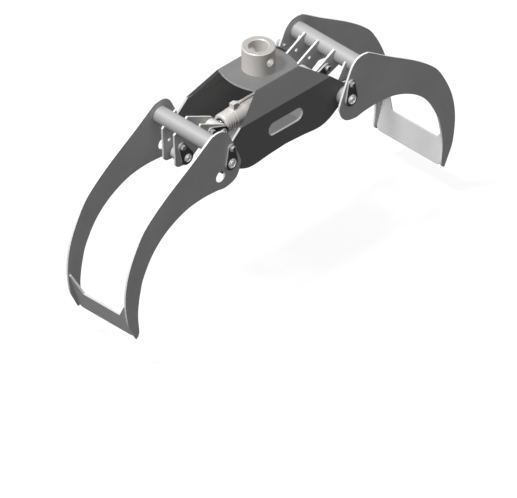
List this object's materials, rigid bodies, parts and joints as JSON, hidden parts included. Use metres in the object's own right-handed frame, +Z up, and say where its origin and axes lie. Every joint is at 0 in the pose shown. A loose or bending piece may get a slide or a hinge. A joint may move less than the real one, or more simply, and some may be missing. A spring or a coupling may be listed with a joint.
{
  "type": "hydraulic timber grapple",
  "caption": "Timber grapple with a folded steel housing, a bored rotator collar, a narrow and a wide curved jaw, one hydraulic cylinder and a tie bar that keeps the jaws in step.",
  "frame": {"origin": "on the ground under the collar's axis, at the level of the four jaw tips that the open grapple stands on", "axes": "+X along the opening direction from the narrow jaw to the wide jaw, +Y across the jaws, +Z up along the collar's axis"},
  "size_m": [1.5596, 0.3632, 0.782],
  "materials": {
    "charcoal_paint": "satin",
    "grey_paint": "satin",
    "pale_steel": "satin",
    "warm_steel": "satin",
    "black_oxide": "satin",
    "pin_steel": "satin",
    "chrome": "polished",
    "bronze": "satin",
    "seal_rubber": "matte"
  },
  "bodies": {
    "frame": {"housing": "charcoal_paint", "housing_belly_plate": "grey_paint", "rotator_collar": "warm_steel", "pivot_boss_front": "pale_steel", "pivot_boss_rear": "pale_steel", "wide_pivot_bush_front": "bronze", "wide_pivot_bush_rear": "bronze", "narrow_pivot_bush_front": "bronze", "narrow_pivot_bush_rear": "bronze"},
    "narrow_jaw": {"narrow_side_plate_front": "grey_paint", "narrow_side_plate_rear": "grey_paint", "narrow_cross_tube": "pale_steel", "narrow_tip_plate": "grey_paint", "narrow_lug_rear": "grey_paint", "narrow_lug_middle": "grey_paint", "narrow_rod_lug": "grey_paint", "narrow_pivot_front_pin": "pin_steel", "narrow_pivot_front_flag": "black_oxide", "narrow_pivot_front_bolt": "pin_steel", "narrow_pivot_rear_pin": "pin_steel", "narrow_pivot_rear_flag": "black_oxide", "narrow_pivot_rear_bolt": "pin_steel", "rod_pin": "pin_steel", "rod_flag": "black_oxide", "rod_bolt": "pin_steel", "narrow_link_pin": "pin_steel", "narrow_link_flag": "black_oxide", "narrow_link_bolt": "pin_steel"},
    "wide_jaw": {"wide_side_plate_front": "grey_paint", "wide_side_plate_rear": "grey_paint", "wide_cross_tube": "pale_steel", "wide_tip_plate": "grey_paint", "wide_lug_rear": "grey_paint", "wide_lug_middle": "grey_paint", "wide_lug_front": "grey_paint", "wide_pivot_lug_front": "grey_paint", "wide_pivot_lug_rear": "grey_paint", "wide_pivot_front_pin": "pin_steel", "wide_pivot_front_flag": "black_oxide", "wide_pivot_front_bolt": "pin_steel", "wide_pivot_rear_pin": "pin_steel", "wide_pivot_rear_flag": "black_oxide", "wide_pivot_rear_bolt": "pin_steel", "barrel_pin": "pin_steel", "barrel_flag": "black_oxide", "barrel_bolt": "pin_steel", "wide_link_pin": "pin_steel", "wide_link_flag": "black_oxide", "wide_link_bolt": "pin_steel"},
    "rod": {"piston_rod": "chrome", "rod_eye": "warm_steel", "piston": "pin_steel", "piston_seal": "seal_rubber"},
    "barrel": {"cylinder_barrel": "warm_steel", "barrel_eye": "warm_steel", "cylinder_gland": "warm_steel", "rod_wiper": "seal_rubber", "port_block": "warm_steel"},
    "tie_bar": {"tie_bar": "grey_paint", "tie_bar_bush": "bronze"}
  },
  "joints": [
    {"name": "narrow_jaw_hinge", "type": "hinge", "parent": "frame", "child": "narrow_jaw", "pos_m": [-0.275, 0, 0.507], "axis": [0, -1, 0], "range_deg": [0, 64]},
    {"name": "wide_jaw_hinge", "type": "hinge", "parent": "frame", "child": "wide_jaw", "pos_m": [0.275, 0, 0.507], "axis": [0, 1, 0], "range_deg": [0, 64]},
    {"name": "rod_hinge", "type": "hinge", "parent": "narrow_jaw", "child": "rod", "pos_m": [-0.217, 0, 0.551], "axis": [0, 1, 0], "range_deg": [0, 64]},
    {"name": "barrel_hinge", "type": "hinge", "parent": "wide_jaw", "child": "barrel", "pos_m": [0.217, 0, 0.551], "axis": [0, -1, 0], "range_deg": [0, 64]},
    {"name": "tie_bar_hinge", "type": "hinge", "parent": "narrow_jaw", "child": "tie_bar", "pos_m": [-0.322, 0, 0.471], "axis": [0, 1, 0], "range_deg": [0, 55.2]}
  ],
  "couplings": [
    {"joint": "wide_jaw_hinge", "follows": "narrow_jaw_hinge", "ratio": 1},
    {"joint": "rod_hinge", "follows": "narrow_jaw_hinge", "ratio": 1},
    {"joint": "barrel_hinge", "follows": "narrow_jaw_hinge", "ratio": 1},
    {"joint": "tie_bar_hinge", "follows": "narrow_jaw_hinge", "ratio": 0.86225}
  ]
}
